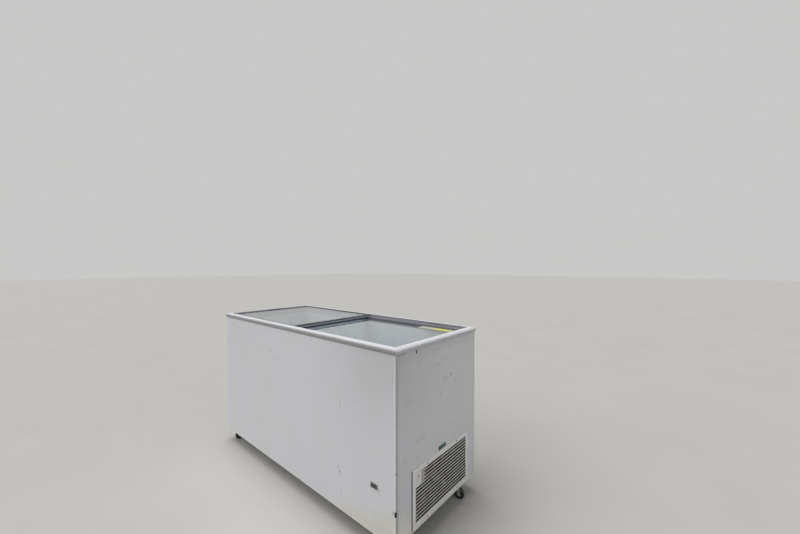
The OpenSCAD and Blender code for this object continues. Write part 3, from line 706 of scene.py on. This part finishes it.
def dress_nodes():
    """Gives every CAD node the material of the first name below that is part of its own."""
    sides = {
        "front_panel": (Vector((0, -1, 0)), FRONT_MARKS),
        "rear_panel": (Vector((0, 1, 0)), FRONT_MARKS[:6]),
        "right_end_panel": (Vector((1, 0, 0)), END_MARKS),
        "left_end_panel": (Vector((-1, 0, 0)), END_MARKS[6:]),
    }
    looks = {name: painted_sheet(name + "_paint", *side) for name, side in sides.items()}
    looks.update({"castor_wheel_" + corner: wheel_rubber(corner) for corner in CORNERS})
    galvanised = plated_steel("galvanised_sheet", (0.50, 0.51, 0.52), (0.34, 0.35, 0.36), 0.8)
    zinc = plated_steel("zinc_plate", (0.56, 0.56, 0.55), (0.34, 0.34, 0.33), 0.8)
    looks.update({
        "top_frame": rim_plastic(),
        "vent_grille": grille_plastic(),
        "tank_liner": liner_coat(),
        "display_window": display_plastic(),
        "insulation": foam(),
        "base_pan": galvanised,
        "machine_tray": galvanised,
        "castor_rail": black_steel(),
        "castor_plate": zinc,
        "castor_fork_rear_right": zinc,
        # The forks other than the rear right one get a darker copy of the zinc: dirt and painted shade, as
        # they stand in the cabinet's shade
        "castor_fork": plated_steel("shaded_dirty_zinc", (0.13, 0.125, 0.12), (0.05, 0.048, 0.045), 0.6),
        "glass": lid_glass(),
        "lid_left_meeting_rail": rail_plastic("meeting_rail_plastic", RIM_TOP - 0.009),
        # Painted light on the lower lid's meeting rail, under the upper rail's shadow
        "lid_right_meeting_rail": rail_plastic("lower_meeting_rail_plastic", RIM_TOP, RAIL_PAINTED_LIGHT),
        "lid_": rail_plastic("rail_plastic"),
    })
    for name, item in frame["nodes"].items():
        look = next(made for part, made in looks.items() if part in name)
        item.data.materials.clear()
        item.data.materials.append(look)


# Pieces


def add_mesh(name, build, look, body, smooth=True):
    """Makes a mesh object with build(bm), gives it a material and lets it ride on a body."""
    bm = bmesh.new()
    build(bm)
    bmesh.ops.recalc_face_normals(bm, faces=bm.faces)
    mesh = bpy.data.meshes.new(name)
    bm.to_mesh(mesh)
    bm.free()
    for face in mesh.polygons:
        face.use_smooth = smooth
    item = bpy.data.objects.new(name, mesh)
    bpy.context.scene.collection.objects.link(item)
    mesh.materials.append(look)
    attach(item, body)


def ring_faces(bm, low, high):
    """Joins two closed rings of as many vertices by a band of faces."""
    for k in range(len(low)):
        after = (k + 1) % len(low)
        bm.faces.new((low[k], low[after], high[after], high[k]))


def turned(bm, place, normal, profile, sides, squash=1.0):
    """A solid of revolution that stands on place along normal.

    The profile lists radius and height, and ends at radius 0. The rings are returned.
    """
    to_world = Matrix.Translation(place) @ Vector(normal).to_track_quat("Z", "Y").to_matrix().to_4x4()
    rows = []
    for radius, height in profile[:-1]:
        row = []
        for k in range(sides):
            angle = 2 * math.pi * k / sides
            point = Vector((radius * squash * math.cos(angle), radius * math.sin(angle), height))
            row.append(bm.verts.new(to_world @ point))
        rows.append(row)
    tip = bm.verts.new(to_world @ Vector((0, 0, profile[-1][1])))
    bm.faces.new(list(reversed(rows[0])))
    for low, high in zip(rows, rows[1:]):
        ring_faces(bm, low, high)
    for k in range(sides):
        bm.faces.new((rows[-1][k], rows[-1][(k + 1) % sides], tip))
    return rows


def screw_head(bm, place, normal, radius, height):
    """A domed screw head with a cross recess."""
    dome = [(radius * math.cos(a), height * math.sin(a)) for a in (0.0, 0.35, 0.7, 1.05)]
    recess = [(radius * 0.32, height * 0.97), (0, height * 0.45)]
    rows = turned(bm, place, normal, dome + recess, 24)
    for k, vert in enumerate(rows[-1]):
        if k % 6 in (2, 3, 4):
            vert.co -= Vector(normal) * height * 0.4


def hex_head(bm, place, normal, across_flats, height):
    """A chamfered hexagon nut with the end of its bolt standing out."""
    radius = across_flats / math.sqrt(3)
    stud = across_flats * 0.27
    profile = [
        (radius, 0), (radius, height * 0.85), (radius * 0.88, height), (stud * 1.1, height),
        (stud, height * 0.9), (stud, height * 1.25), (stud * 0.8, height * 1.4), (0, height * 1.4),
    ]
    turned(bm, place, normal, profile, 6)


def grille_screws(look):
    """Four screws in the grille's frame, each at its place along the end and its height."""
    places = [(0.200, 0.103), (0.444, 0.103), (0.203, 0.3280), (0.442, 0.3285)]
    radius, height, sunk = 0.0042, 0.0022, 0.0002

    def build(bm):
        for along, z in places:
            place = Vector((GRILLE_HIGH.x - sunk, along - HALF_Y, z))
            screw_head(bm, place, (1, 0, 0), radius, height)

    add_mesh("grille_screws", build, look, "cabinet")


def end_plug(look):
    """The dark oval plug under the rim, which closes a hole in the end sheet."""
    along, z, sunk = 0.131, 0.8160, 0.0002
    flange = [(0.0080, 0), (0.0080, 0.0006), (0.0074, 0.0012), (0.0058, 0.0015)]
    dimple = [(0.0052, 0.0009), (0, 0.0007)]

    def build(bm):
        place = Vector((HALF_X - sunk, along - HALF_Y, z))
        turned(bm, place, (1, 0, 0), flange + dimple, 28, squash=0.5)

    add_mesh("end_plug", build, look, "cabinet")


def castor_hardware(screw, nut):
    """Countersunk screws in the castor plates, and a nut on each end of an axle."""
    # The plate's thickness, and how far the cheeks' outer faces are from the wheel's middle
    plate, cheek = 0.0025, 0.014
    screw_spread, screw_radius, screw_height = 0.019, 0.0031, 0.0012
    nut_flats, nut_height = 0.013, 0.0042
    for corner in CORNERS:
        swivel = Vector(JOINTS[f"castor_{corner}_swivel"]["pos_m"])
        roll = JOINTS[f"castor_{corner}_roll"]
        axle = Vector(roll["axis"])
        plate_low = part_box(f"castor_rail_{corner.split('_')[1]}")[0].z - plate

        def build_screws(bm):
            for x in (swivel.x - screw_spread, swivel.x + screw_spread):
                for y in (swivel.y - screw_spread, swivel.y + screw_spread):
                    place = Vector((x, y, plate_low + screw_height))
                    screw_head(bm, place, (0, 0, -1), screw_radius, screw_height)

        def build_nuts(bm):
            for side in (-1, 1):
                place = Vector(roll["pos_m"]) + axle * side * cheek
                hex_head(bm, place, tuple(axle * side), nut_flats, nut_height)

        add_mesh(f"plate_screws_{corner}", build_screws, screw, "cabinet")
        add_mesh(f"axle_nuts_{corner}", build_nuts, nut, f"fork_{corner}", smooth=False)


def glass_seals(look):
    """A bead of black seal on each pane, where it enters the rails."""
    # The bead's outline, as its distance from the rails and its rise above the glass
    bead = [(0.0, 0.0), (0.0, 0.0014), (0.0008, 0.0013), (0.0016, 0.0007), (0.0019, 0.0)]
    parts = ("glass", "front_rail", "rear_rail", "handle_rail", "meeting_rail")
    end_rails = {
        "lid_left": ("handle_rail", "meeting_rail"),
        "lid_right": ("meeting_rail", "handle_rail"),
    }
    for lid, (first, last) in end_rails.items():
        boxes = {part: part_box(f"{lid}_{part}") for part in parts}
        low = (boxes[first][1].x, boxes["front_rail"][1].y)
        high = (boxes[last][0].x, boxes["rear_rail"][0].y)
        top = boxes["glass"][1].z

        def build(bm):
            rings = []
            for inset, rise in bead:
                x0, y0, x1, y1 = low[0] + inset, low[1] + inset, high[0] - inset, high[1] - inset
                corners = ((x0, y0), (x1, y0), (x1, y1), (x0, y1))
                rings.append([bm.verts.new((x, y, top + rise)) for x, y in corners])
            for ring, after in zip(rings, rings[1:] + rings[:1]):
                ring_faces(bm, ring, after)

        add_mesh(f"{lid}_seal", build, look, lid, smooth=False)


def meeting_lip(look):
    """A rubber lip under the upper lid's inner rail, which wipes the gap above the lower lid."""
    over_glass, end_gap = 0.0032, 0.003
    # Far enough in that the lip stays clear of the end ledge when the lid is open
    set_back = 0.0165
    low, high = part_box("lid_left_meeting_rail")
    tip_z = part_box("lid_right_glass")[1].z + over_glass
    front_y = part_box("lid_right_front_rail")[0].y + end_gap
    root = high.x - set_back
    outline = [
        (root - 0.004, low.z), (root, low.z), (root, low.z - 0.001),
        (root - 0.0045, tip_z), (root - 0.0055, tip_z), (root - 0.003, low.z - 0.0012),
    ]

    def build(bm):
        front, rear = [[bm.verts.new((x, y, z)) for x, z in outline] for y in (front_y, -front_y)]
        ring_faces(bm, front, rear)
        bm.faces.new(front)
        bm.faces.new(list(reversed(rear)))

    add_mesh("meeting_lip", build, look, "lid_left", smooth=False)


def grid_border(grid):
    """The vertices round the border of a square grid, in order."""
    last = len(grid) - 1
    edge = [grid[i][0] for i in range(last)]
    edge += [grid[last][k] for k in range(last)]
    edge += [grid[i][last] for i in range(last, 0, -1)]
    edge += [grid[0][k] for k in range(last, 0, -1)]
    return edge


def sticker_plate(name, origin, width, height, look, body, curl=0.0):
    """A thin sheet with rounded corners, spread from origin along two edges, its first corner curled up."""
    steps = 14
    thickness = 0.0003
    # The rounded corner's share of the half width, how far it is drawn in, and how fast the curl dies out
    corner, drawn_in, flatten = 0.12, 0.16, 1.6
    origin, width, height = Vector(origin), Vector(width), Vector(height)
    face = width.cross(height).normalized()

    def rounded(u, v):
        """Draws the unit square's corners in to a radius."""
        du, dv = abs(u - 0.5) * 2, abs(v - 0.5) * 2
        over = max(0.0, du - (1 - corner)) * max(0.0, dv - (1 - corner)) / corner
        return u - math.copysign(over * drawn_in, u - 0.5), v - math.copysign(over * drawn_in, v - 0.5)

    def point(i, k, lift):
        u, v = rounded(i / steps, k / steps)
        rise = curl * max(0.0, 1 - (u + v) * flatten) ** 2
        return origin + width * u + height * v + face * (lift + rise)

    def build(bm):
        count = range(steps + 1)
        low, high = [
            [[bm.verts.new(point(i, k, lift)) for k in count] for i in count] for lift in (0.0, thickness)
        ]
        for i in range(steps):
            for k in range(steps):
                bm.faces.new((high[i][k], high[i + 1][k], high[i + 1][k + 1], high[i][k + 1]))
                bm.faces.new((low[i][k], low[i][k + 1], low[i + 1][k + 1], low[i + 1][k]))
        ring_faces(bm, grid_border(low), grid_border(high))

    add_mesh(name, build, look, body)


def green_sticker():
    """A green sticker above the grille, without any print, pale at its top."""
    low, high = 0.3405, 0.3625
    left, right = 0.291, 0.351
    pale_top = (0.354, 0.359, (0.45, 0.66, 0.58))
    look = plain_label("green_sticker_paint", (0.006, 0.060, 0.040), (0.015, 0.095, 0.065), 2, [pale_top])
    sticker_plate(
        "green_sticker", (HALF_X + 0.0001, left - HALF_Y, low), (0, right - left, 0), (0, 0, high - low),
        look, "cabinet", curl=0.0012,
    )


def yellow_sticker():
    """A sticker on the lower pane, without any print, which turns from cream to yellow and to sand."""
    near_x, far_x = 0.468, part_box("lid_right_handle_rail")[0].x - 0.003
    front_y, rear_y = 0.204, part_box("lid_right_rear_rail")[0].y - 0.003
    glass_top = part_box("lid_right_glass")[1].z + 0.0001
    bands = [(0.545, 0.580, (0.80, 0.76, 0.12)), (0.640, 0.660, (0.78, 0.70, 0.48))]
    look = plain_label("yellow_sticker_paint", (0.62, 0.63, 0.50), (0.52, 0.55, 0.44), 0, bands)
    sticker_plate(
        "yellow_sticker", (near_x, front_y, glass_top), (far_x - near_x, 0, 0), (0, rear_y - front_y, 0),
        look, "lid_right",
    )


# Camera, lamps and stage

PHOTO_WIDTH = 800
FOCAL_PIXELS = 334.0
SENSOR = 36.0
CAMERA_PLACE = Vector((1.604, -1.274, 1.168))
CAMERA_TURN = math.radians(40.53)
CAMERA_DIP = 0.0019

# Where each lamp's light goes, its strength and its spread in degrees
LAMPS = {
    "ceiling_light": ((0.22, 0.08, -1.0), 1.28, 40),
    "room_light": ((0.40, 0.72, -0.75), 1.00, 50),
    "end_light": ((-0.75, 0.10, -0.65), 0.32, 50),
}
AMBIENT = 0.20
AMBIENT_COLOUR = (0.97, 0.98, 1.0)
BACKDROP = 0.58
FLOOR_SEEN = (0.62, 0.605, 0.575)
FLOOR_BOUNCE = (0.60, 0.595, 0.585)
FLOOR_HALF_WIDTH = 40.0


def make_camera():
    data = bpy.data.cameras.new("camera")
    data.sensor_width = SENSOR
    data.lens = SENSOR * FOCAL_PIXELS / PHOTO_WIDTH
    item = bpy.data.objects.new("camera", data)
    item.location = CAMERA_PLACE
    item.rotation_euler = (math.pi / 2 - CAMERA_DIP, 0.0, CAMERA_TURN)
    bpy.context.scene.collection.objects.link(item)
    bpy.context.scene.camera = item


def add_sun(name, toward, strength, spread):
    data = bpy.data.lights.new(name, "SUN")
    data.energy = strength
    data.angle = math.radians(spread)
    item = bpy.data.objects.new(name, data)
    item.rotation_euler = Vector(toward).to_track_quat("-Z", "Y").to_euler()
    bpy.context.scene.collection.objects.link(item)


def seen(tree):
    """1 for a ray that the picture shows as it is, by the camera, in a gloss or through glass."""
    path = tree.nodes.new("ShaderNodeLightPath")
    share = path.outputs["Is Camera Ray"]
    for name in ("Is Glossy Ray", "Is Transmission Ray"):
        either = tree.nodes.new("ShaderNodeMath")
        either.operation = "MAXIMUM"
        tree.links.new(share, either.inputs[0])
        tree.links.new(path.outputs[name], either.inputs[1])
        share = either.outputs[0]
    return share


def make_world():
    """A faint bluish light from all round, and a plain grey backdrop in its place in the picture."""
    world = bpy.data.worlds.new("world")
    world.use_nodes = True
    tree = world.node_tree
    tree.nodes.clear()
    out = tree.nodes.new("ShaderNodeOutputWorld")
    ambient = tree.nodes.new("ShaderNodeBackground")
    ambient.inputs["Color"].default_value = (*AMBIENT_COLOUR, 1.0)
    ambient.inputs["Strength"].default_value = AMBIENT
    shown = tree.nodes.new("ShaderNodeBackground")
    shown.inputs["Color"].default_value = (BACKDROP, BACKDROP, BACKDROP * 0.99, 1.0)
    mixed = tree.nodes.new("ShaderNodeMixShader")
    tree.links.new(seen(tree), mixed.inputs[0])
    tree.links.new(ambient.outputs[0], mixed.inputs[1])
    tree.links.new(shown.outputs[0], mixed.inputs[2])
    tree.links.new(mixed.outputs[0], out.inputs["Surface"])
    bpy.context.scene.world = world


def make_floor():
    """A plain pale floor, faintly clouded where the picture shows it, and even in the light it returns."""
    black = (0.0, 0.0, 0.0)
    s = Shader("floor_paint")
    shade = s.ramp(s.noise(1.5, 3.0), 0.3, 0.7, 0.97, 1.0)
    s.set(Base_Color=s.mix(shade, black, FLOOR_SEEN), Roughness=0.8, Specular_IOR_Level=0.15)
    bounce = s.node("ShaderNodeBsdfDiffuse")
    bounce.inputs["Color"].default_value = (*FLOOR_BOUNCE, 1.0)
    mixed = s.node("ShaderNodeMixShader")
    s.join(seen(s.tree), mixed.inputs[0])
    s.join(bounce.outputs[0], mixed.inputs[1])
    s.join(s.surface.outputs[0], mixed.inputs[2])
    s.join(mixed.outputs[0], s.output.inputs["Surface"])

    size = FLOOR_HALF_WIDTH
    corners = [(-size, -size, 0), (size, -size, 0), (size, size, 0), (-size, size, 0)]
    mesh = bpy.data.meshes.new("floor")
    mesh.from_pydata(corners, [], [(0, 1, 2, 3)])
    mesh.materials.append(s.material)
    item = bpy.data.objects.new("floor", mesh)
    bpy.context.scene.collection.objects.link(item)


make_camera()
make_world()
make_floor()
for lamp, settings in LAMPS.items():
    add_sun(lamp, *settings)

dress_nodes()
screw_metal = small_metal("screw_metal", (0.42, 0.41, 0.40), (0.14, 0.12, 0.10), 1.0)
nut_zinc = small_metal("nut_zinc", (0.62, 0.61, 0.58), (0.36, 0.34, 0.30), 0.9)
black_rubber = soft_rubber("black_rubber", (0.014, 0.014, 0.015), (0.085, 0.08, 0.075))
grey_rubber = soft_rubber("grey_rubber", (0.30, 0.305, 0.33), (0.20, 0.20, 0.21))
grille_screws(screw_metal)
end_plug(black_rubber)
castor_hardware(screw_metal, nut_zinc)
glass_seals(black_rubber)
meeting_lip(grey_rubber)
green_sticker()
yellow_sticker()

bpy.context.scene.view_settings.view_transform = "Standard"
